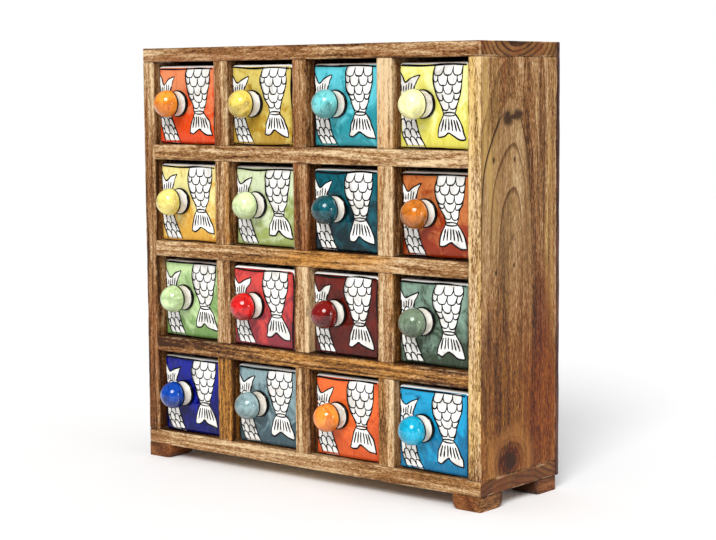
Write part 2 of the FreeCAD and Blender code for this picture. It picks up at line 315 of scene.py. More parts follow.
def board_skin(low, high, grain, seed, pith):
    """A board from corner to corner as rounded rectangles carried along the grain. The rounding
    swells and shrinks along each edge, and the faces ripple a little. pith is where the log's
    middle lies from the low corner, in millimetres. Returns the loops, the place of every point in
    the log, along it and across it from the pith, and 0, 0 and 1 on the edges."""
    settings = bpy.context.scene.cabinet_wood
    low, high = np.array(low), np.array(high)
    a, t, g = (grain + 1) % 3, (grain + 2) % 3, grain
    half = (high - low) / 2
    middle = (high + low) / 2
    guard = 0.9 * MM
    step = 3.2 * MM
    place, normal = rounded_outline(half[a], half[t], step, step, guard)
    base = settings.rounding

    bend = np.radians([0.0, 35.0, 70.0, 70.0, 70.0])
    tip = half[g] - base + base * np.sin(bend)
    inner = spread(half[g] - base, 3.5 * MM, guard)[1:-1]
    along = np.concatenate([-tip[::-1], inner, tip])
    lift = np.concatenate([np.cos(bend)[::-1], np.ones(len(inner)), np.cos(bend)])
    inset = np.zeros(len(along))
    inset[[1, -2]] = guard
    inset[[0, -1]] = 2 * guard

    corner = np.zeros((len(along), len(place), 3))
    corner[..., [a, t]] = place * half[[a, t]]
    corner[..., g] = along[:, None]
    worn = base * (1 + 0.45 * ripple(corner + middle, seed, 34 * MM)
                   + 0.25 * ripple(corner + middle, seed + 1, 9 * MM))
    radius = np.clip(worn, 0.35 * base, 2.0 * base)
    uneven = settings.waviness * (ripple(corner, seed + 2, 55 * MM)
                                  + 0.35 * ripple(corner, seed + 3, 12 * MM))
    loops = corner.copy()
    flat = place * (half[[a, t]] - radius[..., None] - inset[:, None, None])
    round_part = normal * (radius * lift[:, None] + np.minimum(uneven, 0))[..., None]
    loops[..., [a, t]] = flat + round_part
    loops += middle

    inlog = np.empty_like(loops)
    inlog[..., 0] = loops[..., g] + 0.37 * seed
    inlog[..., 1:] = loops[..., [a, t]] - low[[a, t]] - np.array(pith) * MM
    edge = np.zeros_like(loops)
    on_corner = (np.abs(place) == 1).all(axis=1)
    at_end = (inset == 0) & (np.abs(along) >= half[g] - base - 1e-9)
    edge[..., 2] = np.maximum(on_corner[None, :] * (inset == 0)[:, None], at_end[:, None])
    return loops, inlog, edge


def inside_cabinet(points):
    """Where points lie in the cabinet's compartments, behind the front faces of the boards."""
    low, high = corners("shelf_1")
    sides = corners("side_panel_left")
    low[Z], high[Z] = sides[0][Z], sides[1][Z]
    slack = 0.1 * MM
    low += (-slack, 1.2 * MM, -slack)
    return ((points > low) & (points < high + slack)).all(axis=-1)


def add_board(skins, box, grain, seed, look, pith, end_look=None):
    """Adds one board to the skins. look is how pale it is at even places along it, and how red or,
    below 0, how golden; end_look is the same for its sawn ends."""
    loops, inlog, tone = board_skin(*box, grain, seed, pith)
    length = box[1][grain] - box[0][grain]
    share = (loops[..., grain] - box[0][grain]) / length
    at_end = np.minimum(share, 1 - share) * length < 0.3 * MM
    for index, values in enumerate(look):
        along = np.interp(share, np.linspace(0.12, 0.88, len(values)), values)
        tone[..., index] = np.where(at_end, end_look[index], along) if end_look else along
    # Painted shade: the tone is lowered inside the compartments
    tone[..., 0] -= PAINTED_SHADE_INSIDE * inside_cabinet(loops)
    end = np.repeat(at_end[..., None] * 1.0, 3, axis=-1)
    skins.add(loops, inlog=inlog, tone=tone, end=end)


def side_figure(points, front, surface):
    """Places across the log for the right side, where the rings make nested arches: the pith lies
    at the surface in the lower half and 0.15 of the height deeper above it, and again deeper at the
    lower knot. Across, the left half is drawn wider than the right. Into the board the depth falls
    one for one."""
    across = points[..., Y] - front - 36.5 * MM
    across = across * np.where(across < 0, 0.42, 0.78)
    over = points[..., Z] - 150 * MM
    depth = 0.15 * 0.5 * (over + np.sqrt(over ** 2 + (12 * MM) ** 2))
    away = (across / (8 * MM)) ** 2 + ((points[..., Z] - 27 * MM) / (12 * MM)) ** 2
    depth = depth + 11 * MM * np.exp(-away) - (surface - points[..., X])
    return np.stack([depth, across], -1)


def add_right_side(skins, box, seed):
    """Adds the side with the arched figure. Its front edge is paler and, as its tone's second value
    tells the material, plain."""
    low, high = box
    loops, inlog, tone = board_skin(low, high, Z, seed, (0.0, 0.0))
    inlog[..., 1:] = side_figure(loops, low[Y], high[X])
    front = loops[..., Y] < low[Y] + 0.4 * MM
    pale = np.interp(loops[..., Z], (0.05, 0.16, 0.2), (-0.35, 0.4, 1.2))
    # Painted shade: the tone is lowered inside the compartments
    tone[..., 0] = np.where(front, pale, -0.15) - PAINTED_SHADE_INSIDE * inside_cabinet(loops)
    tone[..., 1] = front
    skins.add(loops, inlog=inlog, tone=tone, end=np.zeros(3))


# Shader helpers ----------------------------------------------------------------------------------


class Wire:
    """An output of a shader node. A sum, product or share of it adds the node that works it out."""

    def __init__(self, nodes, socket):
        self.nodes = nodes
        self.socket = socket

    def __add__(self, other):
        return self.nodes.math("ADD", self, other)

    def __sub__(self, other):
        return self.nodes.math("SUBTRACT", self, other)

    def __mul__(self, other):
        return self.nodes.math("MULTIPLY", self, other)

    def __truediv__(self, other):
        return self.nodes.math("DIVIDE", self, other)


class Nodes:
    """Adds nodes to a tree, one short call each. What a call returns is a wire."""

    def __init__(self, tree):
        self.tree = tree

    def feed(self, node, inputs):
        """Sets a node's inputs, by name or number, to wires or plain values."""
        for key, value in inputs.items():
            if isinstance(value, Wire):
                self.tree.links.new(value.socket, node.inputs[key])
            else:
                node.inputs[key].default_value = value

    def node(self, kind, inputs=None, **settings):
        """Adds a node of a kind and returns the node itself."""
        node = self.tree.nodes.new(kind)
        for key, value in settings.items():
            setattr(node, key, value)
        self.feed(node, inputs or {})
        return node

    def wires(self, node):
        """The outputs of a node by name."""
        return {output.name: Wire(self, output) for output in node.outputs}

    def add(self, kind, inputs=None, output=0, **settings):
        return Wire(self, self.node(kind, inputs, **settings).outputs[output])

    def math(self, operation, *values):
        return self.add("ShaderNodeMath", dict(enumerate(values)), operation=operation)

    def vector(self, operation, *values, output="Vector"):
        inputs = dict(enumerate(values))
        return self.add("ShaderNodeVectorMath", inputs, output, operation=operation)

    def parts(self, vector):
        """The X, Y and Z of a vector."""
        return list(self.wires(self.node("ShaderNodeSeparateXYZ", {0: vector})).values())

    def smooth(self, value, low, high):
        """0 at low, 1 at high and a smooth step between."""
        inputs = {"Value": value, "From Min": low, "From Max": high}
        return self.add("ShaderNodeMapRange", inputs, interpolation_type="SMOOTHSTEP")

    def within(self, value, low, full, still, high):
        """0 up to low, 1 from full to still and 0 again from high."""
        return self.smooth(value, low, full) * self.smooth(value, high, still)

    def mix(self, share, first, second, blend="MIX"):
        inputs = {0: share, 6: first, 7: second}
        return self.add("ShaderNodeMix", inputs, 2, data_type="RGBA", blend_type=blend)

    def noise(self, vector, scale, detail=2.0, roughness=0.5, distortion=0.0,
              shift=(0.0, 0.0, 0.0)):
        """Noise at one scale, or drawn out by a scale for each axis."""
        if isinstance(scale, tuple):
            inputs = {"Vector": vector, "Scale": scale, "Location": shift}
            vector, scale = self.add("ShaderNodeMapping", inputs), 1.0
        inputs = {"Vector": vector, "Scale": scale, "Detail": detail,
                  "Roughness": roughness, "Distortion": distortion}
        return self.add("ShaderNodeTexNoise", inputs)

    def attribute(self, name):
        return self.add("ShaderNodeAttribute", output="Vector", attribute_name=name)

    def spot(self):
        """The place on the object."""
        return self.add("ShaderNodeTexCoord", output="Object")

    def bump(self, height, distance, strength):
        """The normal bent by a height map, whose 1 stands for a distance in metres."""
        inputs = {"Height": height, "Distance": distance, "Strength": strength}
        return self.add("ShaderNodeBump", inputs)


def new_group(name, inputs, outputs):
    """An empty shader node group with named sockets. Returns its nodes, the wires from its inputs
    and its output node."""
    tree = bpy.data.node_groups.new(name, "ShaderNodeTree")
    for side, sockets in (("INPUT", inputs), ("OUTPUT", outputs)):
        for socket, kind in sockets.items():
            tree.interface.new_socket(socket, in_out=side, socket_type=f"NodeSocket{kind}")
    nodes = Nodes(tree)
    return nodes, nodes.wires(nodes.node("NodeGroupInput")), nodes.node("NodeGroupOutput")


def new_material(name):
    """A material with a Principled shader. Returns the material, its nodes and the shader."""
    material = bpy.data.materials.new(name)
    material.use_nodes = True
    return material, Nodes(material.node_tree), material.node_tree.nodes["Principled BSDF"]


def place_group(nodes, group, **inputs):
    """Places a node group and returns the wires from it."""
    node = nodes.node("ShaderNodeGroup", node_tree=bpy.data.node_groups[group])
    nodes.feed(node, {key.replace("_", " "): value for key, value in inputs.items()})
    return nodes.wires(node)


# Wood --------------------------------------------------------------------------------------------

# The five colours of stained wood, as multiples of the stain's red, green, blue and alpha
STAINED = (
    (3.2, 3.4, 3.6, 1.0), (1.6, 1.7, 1.8, 1.0), (0.5, 0.45, 0.5, 1.0), (1.3, 0.9, 0.9, 1.0),
    (2.6, 2.4, 2.2, 1.0),
)
# Knots: place along the depth and the height, width and height, in millimetres
SIDE_KNOTS = (
    (-6.0, 253.6, 12.5, 12), (5.6, 256, 12, 8.5), (0, 254.6, 12, 4.5), (-21.9, 227, 3, 5),
    (1.6, 227.2, 2.6, 5), (-19.3, 154.6, 2.8, 4.2), (1.1, 158, 2.4, 3.4), (-19.2, 89.4, 2.4, 3.4),
    (2.5, 86.6, 2.4, 3.2), (-2.5, 28, 17, 13),
)
TOP_KNOTS = ((4.2, 304.5, 30, 10),)
# The arch on the right side follows this ring, counted from the pith
ARCH_RING = 3.97


def build_wood_group():
    """Wood as a cut through a log: growth rings at even radii from the pith, bent by soft noise,
    with streaks and open pores drawn out along the grain. Sawn ends are calmer along the fibres."""
    nodes, given, leave = new_group("Wood figure", {
        "In Log": "Vector", "Place": "Vector", "Tone": "Float", "Red": "Float",
        "Ring": "Float", "Sway": "Float", "Depth": "Float", "Streaks": "Float",
        "Pale": "Color", "Middle": "Color", "Dark": "Color", "Heart": "Color", "Gold": "Color",
        "Fleck": "Float", "End": "Float",
    }, {"Color": "Color", "Roughness": "Float", "Height": "Float", "Radius": "Float"})
    place, end = given["Place"], given["End"]
    sway = (nodes.noise(given["In Log"], (6.0, 26.0, 26.0)) - 0.5) * given["Sway"]
    across = nodes.parts(given["In Log"])[1:]
    distance = nodes.math("SQRT", across[0] * across[0] + across[1] * across[1])
    radius = (distance + sway) / given["Ring"]
    strong = nodes.add("ShaderNodeTexWhiteNoise", {"W": nodes.math("FLOOR", radius)}, "Value",
                       noise_dimensions="1D")
    late = nodes.within(nodes.math("FRACT", radius), 0.35, 0.93, 0.95, 1.0)
    rings = late * (strong * 0.85 + 0.15)

    band = nodes.noise(place, (4.0, 60.0, 60.0), 3.0, 0.55) - 0.5
    streak = nodes.noise(place, (22.0, 380.0, 380.0), 3.0, 0.6, 0.5)
    fibre = nodes.noise(place, (210.0, 1100.0, 1100.0), 3.0, 0.6)
    fine = nodes.noise(place, (560.0, 1500.0, 1500.0), 1.0, shift=(3.0, 1.0, 7.0))
    heart = nodes.noise(place, (9.0, 75.0, 75.0), 3.0, 0.6, shift=(1.0, 5.0, 2.0)) - 0.5
    calm = end * -0.8 + 1.0
    fleck = given["Fleck"] * calm
    pores = nodes.smooth(fibre, 0.45, 0.35) * nodes.smooth(fine, 0.38, 0.56) * fleck

    shade = (band * 2.7 + (streak - 0.5) * 1.7) * given["Streaks"] * calm + 0.5
    shade = shade + (strong - 0.5) * 0.28 + (fibre + fine - 1.0) * fleck * 1.2
    shade = shade - rings * (end * 0.08 + given["Depth"]) + given["Tone"] * 0.5
    low = nodes.mix(nodes.smooth(shade, -0.1, 0.5), given["Dark"], given["Middle"])
    colour = nodes.mix(nodes.smooth(shade, 0.35, 1.2), low, given["Pale"])
    heart = heart * 3.0 + given["Red"]
    light = nodes.smooth(shade, -0.4, 0.85)
    for start, stop, kind in ((0.0, 1.0, "Heart"), (-0.1, -1.1, "Gold")):
        tinted = nodes.mix(light, given["Dark"], given[kind])
        colour = nodes.mix(nodes.smooth(heart, start, stop) * 0.8, colour, tinted)
    nodes.feed(leave, {
        "Color": nodes.mix(pores * 0.42, colour, given["Dark"]),
        "Roughness": streak * 0.22 + pores * 0.2 + 0.36,
        "Height": fibre * 0.5 - pores,
        "Radius": radius,
    })


def build_wear_group():
    """Edges rubbed pale in places and soiled in others: an edge mask broken up by noise."""
    nodes, given, leave = new_group("Edge wear", {
        "Edge": "Float", "Place": "Vector", "Color": "Color", "Worn": "Color", "Soil": "Color",
    }, {"Color": "Color"})
    patch = nodes.noise(given["Place"], 90.0, 3.0, 0.6)
    edge = nodes.smooth(given["Edge"], 0.15, 0.9)
    rubbed = edge * nodes.smooth(patch, 0.5, 0.66) * 0.25
    soiled = edge * nodes.smooth(patch, 0.5, 0.36) * 0.45
    colour = nodes.mix(rubbed, given["Color"], given["Worn"])
    nodes.feed(leave, {"Color": nodes.mix(soiled, colour, given["Soil"])})


def build_knot_group():
    """An oval knot: how near a place is to its middle, from 0 outside to 1 inside, with a ragged
    edge. Turns is one over its half sizes, and Centre is where its middle lies in those."""
    nodes, given, leave = new_group("Knot", {
        "Place": "Vector", "Centre": "Vector", "Turns": "Vector"}, {"Mask": "Float"})
    away = nodes.vector("MULTIPLY", given["Place"], given["Turns"])
    away = nodes.vector("SUBTRACT", away, given["Centre"])
    away = nodes.vector("LENGTH", away, output="Value")
    away = away + nodes.noise(given["Place"], 260.0, 2.0, 0.6) * 0.7
    nodes.feed(leave, {"Mask": nodes.smooth(away, 1.6, 0.8)})


def knot(nodes, spot, y, z, wide, high):
    """The mask of a knot at (y, z) and any X, wide by high, all in millimetres."""
    turns = (0.0, 2 / (wide * MM), 2 / (high * MM))
    centre = (0.0, y * MM * turns[1], z * MM * turns[2])
    return place_group(nodes, "Knot", Place=spot, Turns=turns, Centre=centre)["Mask"]


def side_colours(nodes, spot, place, radius, mask, colour):
    """Lays the large figure of the right side over its wood: grey-tan within the dark arch, thin
    lines at the rings, golden margins, darker orange wood below and swirls round the lower knot."""
    height = place[Z]
    wave = nodes.noise(spot, (150.0, 150.0, 12.0), 2.0, 0.6)
    uneven = nodes.smooth(wave, 0.3, 0.62)
    inside = nodes.smooth(radius, 4.1, 3.8) * nodes.smooth(height, 0.12, 0.19)
    margin = nodes.smooth(place[Y] - FACE_LOW[Y], 0.02, 0.005) * nodes.smooth(height, 0.15, 0.21)
    lines = nodes.within(nodes.math("FRACT", radius), 0.8, 0.97, 0.985, 1.0)
    lines = lines * nodes.within(height, 0.13, 0.19, 0.252, 0.262)
    cracks = nodes.math("MAXIMUM", knot(nodes, spot, 31, 245, 2.4, 110),
                        knot(nodes, spot, 36, 225, 2.2, 130))
    away = nodes.vector("MULTIPLY", spot, (0.0, 50.0, 56.0))
    away = nodes.vector("SUBTRACT", away, (0.0, -0.1, 1.6))
    away = nodes.vector("LENGTH", away, output="Value") + wave * 0.3
    turn = nodes.math("FRACT", away * 4.5)
    layers = [
        (inside, 0.35, "MIX", (148, 118, 76)),
        (margin * uneven, 0.65, "MIX", (188, 154, 88)),
        (knot(nodes, spot, 43, 170, 12, 170) * uneven, 0.55, "MIX", (186, 144, 78)),
        (nodes.smooth(height, 0.19, 0.07), 1.0, "MULTIPLY", (206, 170, 112)),
        (knot(nodes, spot, 36, 62, 44, 110), 0.8, "MULTIPLY", (255, 208, 150)),
        (knot(nodes, spot, 34, 122, 22, 70), 0.8, "MULTIPLY", (205, 160, 150)),
        (knot(nodes, spot, -28, 90, 20, 90) * uneven, 0.75, "MULTIPLY", (130, 108, 95)),
        (nodes.within(away, 0.75, 1.1, 1.2, 1.7), 0.5, "MIX", (158, 104, 52)),
        (nodes.smooth(away, 1.2, 0.3), 0.9, "MULTIPLY", (200, 132, 96)),
        (nodes.within(turn, 0.5, 0.9, 0.93, 1.0) * nodes.smooth(away, 1.5, 0.7), 0.6, "MULTIPLY",
         (120, 84, 60)),
        (lines, 0.8, "MULTIPLY", (150, 122, 100)),
        (cracks, 0.6, "MULTIPLY", (120, 90, 75)),
    ]
    for part, strength, blend, shade in layers:
        colour = nodes.mix(part * strength * mask, colour, linear(*shade), blend)
    return colour


def wood_material(name, sway=0.016, fleck=1.0, streaks=1.0, stained=False, side=False, knots=()):
    """Oiled hardwood, or the stained wood of the back panel, or the right side's wood with the dark
    arch below its knots and a redder lower half."""
    wood = bpy.context.scene.cabinet_wood
    material, nodes, shader = new_material(name)
    tone, red, edge = nodes.parts(nodes.attribute("tone"))
    end = nodes.parts(nodes.attribute("end"))[0]
    spot = nodes.spot()
    colours = [wood.pale, wood.middle, wood.dark, wood.red, wood.gold]
    if stained:
        colours = [[share * part for share, part in zip(row, wood.stain)] for row in STAINED]
    log = run = nodes.attribute("inlog")
    depth = 0.42 * streaks
    if side:
        depth = 0.12
        place = nodes.parts(spot)
        run = nodes.add("ShaderNodeCombineXYZ", {0: place[Z], 1: place[Y], 2: place[X]})
        run = nodes.vector("MULTIPLY", run, (0.8, 1.2, 1.2))
        mask = nodes.smooth(red, 0.8, 0.6)
        streaks, fleck, red = mask * -0.5 + 1.0, mask * -0.5 + 1.6, mask * 0.55 - 0.55
        colours[4] = wood.pale_gold
    figure = place_group(
        nodes, "Wood figure", In_Log=log, Place=run, Tone=tone, Red=red, Ring=wood.ring,
        Sway=sway, Depth=depth, Streaks=streaks, Pale=colours[0], Middle=colours[1],
        Dark=colours[2], Heart=colours[3], Gold=colours[4], Fleck=fleck, End=end)
    colour = figure["Color"]
    marks = 0.0
    if side:
        colour = side_colours(nodes, spot, place, figure["Radius"], mask, colour)
        off = nodes.math("ABSOLUTE", figure["Radius"] - ARCH_RING)
        arch = nodes.smooth(off, 0.075, 0.03) * nodes.within(place[Z], 0.17, 0.2, 0.252, 0.257)
        marks = arch * mask
    for place_and_size in knots:
        marks = nodes.math("MAXIMUM", marks, knot(nodes, spot, *place_and_size))
    if knots:
        colour = nodes.mix(marks * 0.9, colour, [0.45 * share for share in wood.dark])
    worn = place_group(nodes, "Edge wear", Edge=edge, Place=spot, Color=colour,
                       Worn=colours[0], Soil=colours[2])
    nodes.feed(shader, {
        "Base Color": worn["Color"], "Roughness": figure["Roughness"],
        "Specular IOR Level": 0.15, "Normal": nodes.bump(figure["Height"], 0.1 * MM, 0.6)})
    return material


# Glaze -------------------------------------------------------------------------------------------


def build_glaze_group():
    """Brushed glaze: a slow change from above to below, brush marks, thin and thick places, and a
    white rim outside the painted field. Field is the distance inside the field's edge in metres."""
    nodes, given, leave = new_group("Brushed glaze", {
        "Place": "Vector", "Level": "Float", "Field": "Float",
        "Above": "Color", "Below": "Color", "White": "Color", "Mottle": "Float", "Thin": "Float",
    }, {"Color": "Color", "Roughness": "Float", "Height": "Float"})
    place, field, mottle = given["Place"], given["Field"], given["Mottle"]
    cloud = nodes.noise(place, 75.0, 3.0, 0.6, 0.8)
    brush = nodes.noise(place, (240.0, 240.0, 100.0), 3.0, 0.6, 1.6)
    grain = nodes.noise(place, 900.0, 2.0, 0.6)
    level = (cloud - 0.5) * 3.0 + given["Level"]
    colour = nodes.mix(nodes.smooth(level, 0.1, 0.9), given["Below"], given["Above"])
    washed = nodes.mix(given["Thin"], colour, given["White"])
    colour = nodes.mix(nodes.smooth(brush, 0.52, 0.76) * mottle, colour, washed)
    deep = nodes.mix(1.0, colour, given["Below"], "MULTIPLY")
    colour = nodes.mix(nodes.smooth(brush, 0.49, 0.25) * mottle, colour, deep)
    colour = nodes.mix(nodes.smooth(field, 0.004, 0.0) * 0.4, colour, deep)
    dirt = nodes.smooth(grain, 0.62, 0.8) * 0.12
    white = nodes.mix(dirt, given["White"], (0.35, 0.3, 0.25, 1.0))
    nodes.feed(leave, {
        "Color": nodes.mix(nodes.smooth(field, -0.00012, 0.00012), white, colour),
        "Roughness": cloud * 0.1 + 0.05,
        "Height": grain * 0.25 + brush,
    })


def glazed(name, paint, colours, mottle, thin, finish):
    """A glossy material. paint is the level and the field, colours are above, below and white, and
    finish sets more of the shader."""
    material, nodes, shader = new_material(name)
    level, field = paint or nodes.parts(nodes.attribute("paint"))[1:]
    glaze = place_group(nodes, "Brushed glaze", Place=nodes.spot(), Level=level, Field=field,
                        Above=colours[0], Below=colours[1], White=colours[2], Mottle=mottle,
                        Thin=thin)
    nodes.feed(shader, {
        "Base Color": glaze["Color"], "Roughness": glaze["Roughness"],
        "Normal": nodes.bump(glaze["Height"], 0.05 * MM, 0.5), **finish})
    return material


def glaze_material(name, above, below, white, mottle, coat):
    """Glossy glaze in two shades of one colour over a white body. coat is how glossy it is, and
    how much of the white shows where it lies thin."""
    return glazed(name, None, (above, below, white), mottle, 0.12 * coat, {
        "Specular IOR Level": 0.15, "Coat Weight": coat, "Coat IOR": 1.35 + 0.1 * coat,
        "Coat Roughness": 0.03})


def plain_glaze_material(name, colour, soil, mottle, coat=0.5, shine=0.5):
    """Glaze of one colour with a few specks and a slightly uneven gloss."""
    return glazed(name, (0.7, 1.0), (colour, soil, colour), mottle, 0.2, {
        "Specular IOR Level": shine, "Coat Weight": coat, "Coat Roughness": 0.05})


def metal_material(name, colour, dull):
    """Plated metal with fine scratches and dull spots."""
    material, nodes, shader = new_material(name)
    spot = nodes.spot()
    scratch = nodes.noise(spot, (3000.0, 900.0, 3000.0), 3.0, 0.7)
    cloud = nodes.smooth(nodes.noise(spot, 260.0, 3.0, 0.6), 0.45, 0.75)
    nodes.feed(shader, {
        "Base Color": nodes.mix(cloud, colour, dull), "Roughness": scratch * 0.35 + 0.2,
        "Metallic": 1.0, "Normal": nodes.bump(scratch, 0.02 * MM, 0.6)})
    return material


# Boards of the cabinet ---------------------------------------------------------------------------

# Piece, node, grain, seed, place of the pith from the board's low corner in millimetres, and how
# pale and how red its sawn ends are. The right side has a figure of its own.
BOARDS = (
    ("top_board", "top_panel", X, 1, (41.5, 32), (-0.4, 0.2)),
    ("bottom_board", "bottom_panel", X, 2, (30, -110), (-0.55, 0.65)),
    ("left_side", "side_panel_left", Z, 3, (70, 20), None),
    ("right_side", "side_panel_right", Z, 4, None, None),
    ("shelf_board_1", "shelf_1", X, 5, (25, 30), None),
    ("shelf_board_2", "shelf_2", X, 6, (25, -45), None),
    ("shelf_board_3", "shelf_3", X, 7, (25, 60), None),
)


def span(low_node, high_node, axis):
    """From the end of one node to the start of the next along an axis."""
    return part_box(low_node)[1][axis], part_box(high_node)[0][axis]


def divider_boxes():
    """(row, gap, low corner, high corner) of the twelve dividers, from the boards round them."""
    inner_low, inner_high = span("side_panel_left", "side_panel_right", X)
    low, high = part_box("dividers")
    opening = low[X] - inner_low
    thickness = (inner_high - inner_low - COLUMNS * opening) / (COLUMNS - 1)
    levels = ["top_panel", "shelf_1", "shelf_2", "shelf_3", "bottom_panel"]
    for row in range(ROWS):
        z_low, z_high = span(levels[row + 1], levels[row], Z)
        for gap in range(COLUMNS - 1):
            x = low[X] + gap * (opening + thickness)
            yield row + 1, gap + 1, (x, low[Y], z_low), (x + thickness, high[Y], z_high)


def wood_piece(name, skins, node, material, slot="mango_wood"):
    skins.piece(name, [material], "cabinet", slot, node)


class CABINET_OT_boards(bpy.types.Operator):
    """Adds the wooden boards of the cabinet"""
    bl_idname = "cabinet.boards"
    bl_label = "Boards"

    def execute(self, context):
        build_wood_group()
        build_wear_group()
        build_knot_group()
        wood = wood_material("Oiled wood")
        own_wood = {
            "right_side": wood_material("Side wood", sway=0.009, side=True, knots=SIDE_KNOTS),
            "top_board": wood_material("Top wood", knots=TOP_KNOTS),
        }
        for name, node, grain, seed, pith, end_look in BOARDS:
            skins = Skins()
            if pith:
                add_board(skins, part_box(node), grain, seed, LOOKS[node], pith, end_look)
            else:
                add_right_side(skins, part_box(node), seed)
            wood_piece(name, skins, node, own_wood.get(name, wood))

        random = np.random.default_rng(11)
        skins = Skins()
        for row, gap, low, high in divider_boxes():
            pith = (random.uniform(-60, 60), random.uniform(-50, 20))
            add_board(skins, (low, high), Z, 10 * row + gap, LOOKS[row, gap], pith)
        wood_piece("divider_boards", skins, "dividers", wood)
        return {"FINISHED"}


class CABINET_OT_back_panel(bpy.types.Operator):
    """Adds the stained back panel"""
    bl_idname = "cabinet.back_panel"
    bl_label = "Back panel"

    def execute(self, context):
        skins = Skins()
        add_board(skins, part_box("back_panel"), Z, seed=61, look=((0.0, 0.0), (0.0, 0.0)),
                  pith=(40, -90))
        wood_piece("back_board", skins, "back_panel", wood_material("Stained wood", stained=True),
                   "dark_stained_wood")
        return {"FINISHED"}


def stacked_skin(heights, low, high, radius, outline):
    """Rounded rectangles in X and Y stacked up in Z. low and high are the corners (X, Y) of every
    one, radius its corner radius."""
    place, normal = outline
    low, high, radius = np.array(low), np.array(high), np.asarray(radius)[:, None, None]
    half = ((high - low) / 2)[:, None, :]
    middle = ((high + low) / 2)[:, None, :]
    loops = np.empty((len(heights), len(place), 3))
    loops[..., :2] = middle + place * (half - radius) + normal * radius
    loops[..., 2] = np.asarray(heights)[:, None]
    return loops


class CABINET_OT_feet(bpy.types.Operator):
    """Adds the corner feet, rounded towards the middle and painted darker there as shade under the
    cabinet
    """
    bl_idname = "cabinet.feet"
    bl_label = "Feet"

    def execute(self, context):
        low, high = corners("feet")
        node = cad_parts["feet"]
        points = np.array([node.matrix_world @ vertex.co for vertex in node.data.vertices])
        middle = (low + high) / 2
        width = high[X] - np.abs(points[:, X]).min()
        depth = points[points[:, Y] < middle[Y], Y].max() - low[Y]
        size = np.array([width, depth])
        height = high[Z] - low[Z]
        rounding = 5.4 * MM
        edge = 0.7 * MM
        turn = np.radians(np.linspace(0, 90, 9))
        heights = np.concatenate([rounding * (1 - np.cos(turn)), [height - edge, height]])
        pull = np.concatenate([rounding * (1 - np.sin(turn)), [0.0, 0.0]])[:, None]
        step = 2.5 * MM
        outline = rounded_outline(width / 2, depth / 2, step, step, guard=0.6 * MM)
        radius = np.full(len(heights), edge)
        skins = Skins()
        for side in (0, 1):
            for end in (0, 1):
                far = np.array([side, end])
                first = np.where(far, high[:2] - size, low[:2])
                last = np.where(far, high[:2], low[:2] + size)
                loops = stacked_skin(heights + low[Z], first + pull * far,
                                     last - pull * (1 - far), radius, outline)
                inlog = np.roll(loops, 2, axis=-1) + 0.2 * (2 + 2 * side + 2 * end)
                inward = np.abs(loops[..., Y] - middle[Y]) - (high[Y] - middle[Y] - depth)
                tone = np.zeros_like(loops)
                # Painted shade: faces near the inner side of each foot, under the cabinet, are made
                # darker
                tone[..., 0] = -0.55 - 1.3 * np.clip(1 - inward / (4 * MM), 0, 1)
                tone[..., 1] = 0.7
                skins.add(loops, inlog=inlog, tone=tone, end=np.zeros(3))
        wood_piece("corner_feet", skins, "feet", wood_material("Foot wood", streaks=0.4))
        return {"FINISHED"}


# Drawers -----------------------------------------------------------------------------------------

CORNER = 2.6 * MM
LIP_OUTSIDE = 2.2 * MM
LIP_INSIDE = 1.6 * MM
SIDE_WALL = 4.5 * MM
FRONT_WALL = 5.5 * MM
FLOOR = 5.0 * MM
POCKET_CORNER = 2.5 * MM
POCKET_ROUND = 2.4 * MM
CAP = 9 * MM            # where the last loops at the middle of the floor lie
CAP_CORNER = 2 * MM
LIP_SAG = 0.22 * MM     # how far the uneven lip dips
UNPAINTED = -2 * MM     # the distance inside the painted field that stands for no paint


def each_drawer():
    """(row, column, place name) of every drawer, from the top left."""
    for row in range(1, ROWS + 1):
        for column in range(1, COLUMNS + 1):
            yield row, column, f"row{row}_col{column}"


def face_middle(place):
    """The middle of a drawer's face."""
    low, high = corners(f"drawer_{place}")
    return np.array([(low[X] + high[X]) / 2, low[Y], (low[Z] + high[Z]) / 2])


def pillow_depth(x, z, amount):
    """How far the soft face falls back: amount * (1 - (1 - |x/a|^4) (1 - |z/b|^4))."""
    across = np.clip(np.abs(x) / (FACE_WIDTH / 2), 0, 1) ** 4
    upward = np.clip(np.abs(z) / (FACE_HEIGHT / 2), 0, 1) ** 4
    return amount * (1 - (1 - across) * (1 - upward))


def face_depth(x, z, amount):
    """How far a face lies behind its frontmost plane at a place: the drop of the rounding along the
    bottom and the lip, r - sqrt(r^2 - (r - e)^2) at a distance e from the edge, the same towards
    the sides, and the pillow."""
    radius = np.where(z < 0, CORNER, LIP_OUTSIDE)
    over = np.clip(np.abs(z) - (FACE_HEIGHT / 2 - radius), 0, radius)
    inset = radius - np.sqrt(radius ** 2 - over ** 2)
    side = np.clip((np.abs(x) - (FACE_WIDTH / 2 - inset - CORNER)) / CORNER, 0, 1)
    level = np.sqrt(1 - side ** 2)
    return inset + CORNER * (1 - level) + pillow_depth(x, z, amount) * level


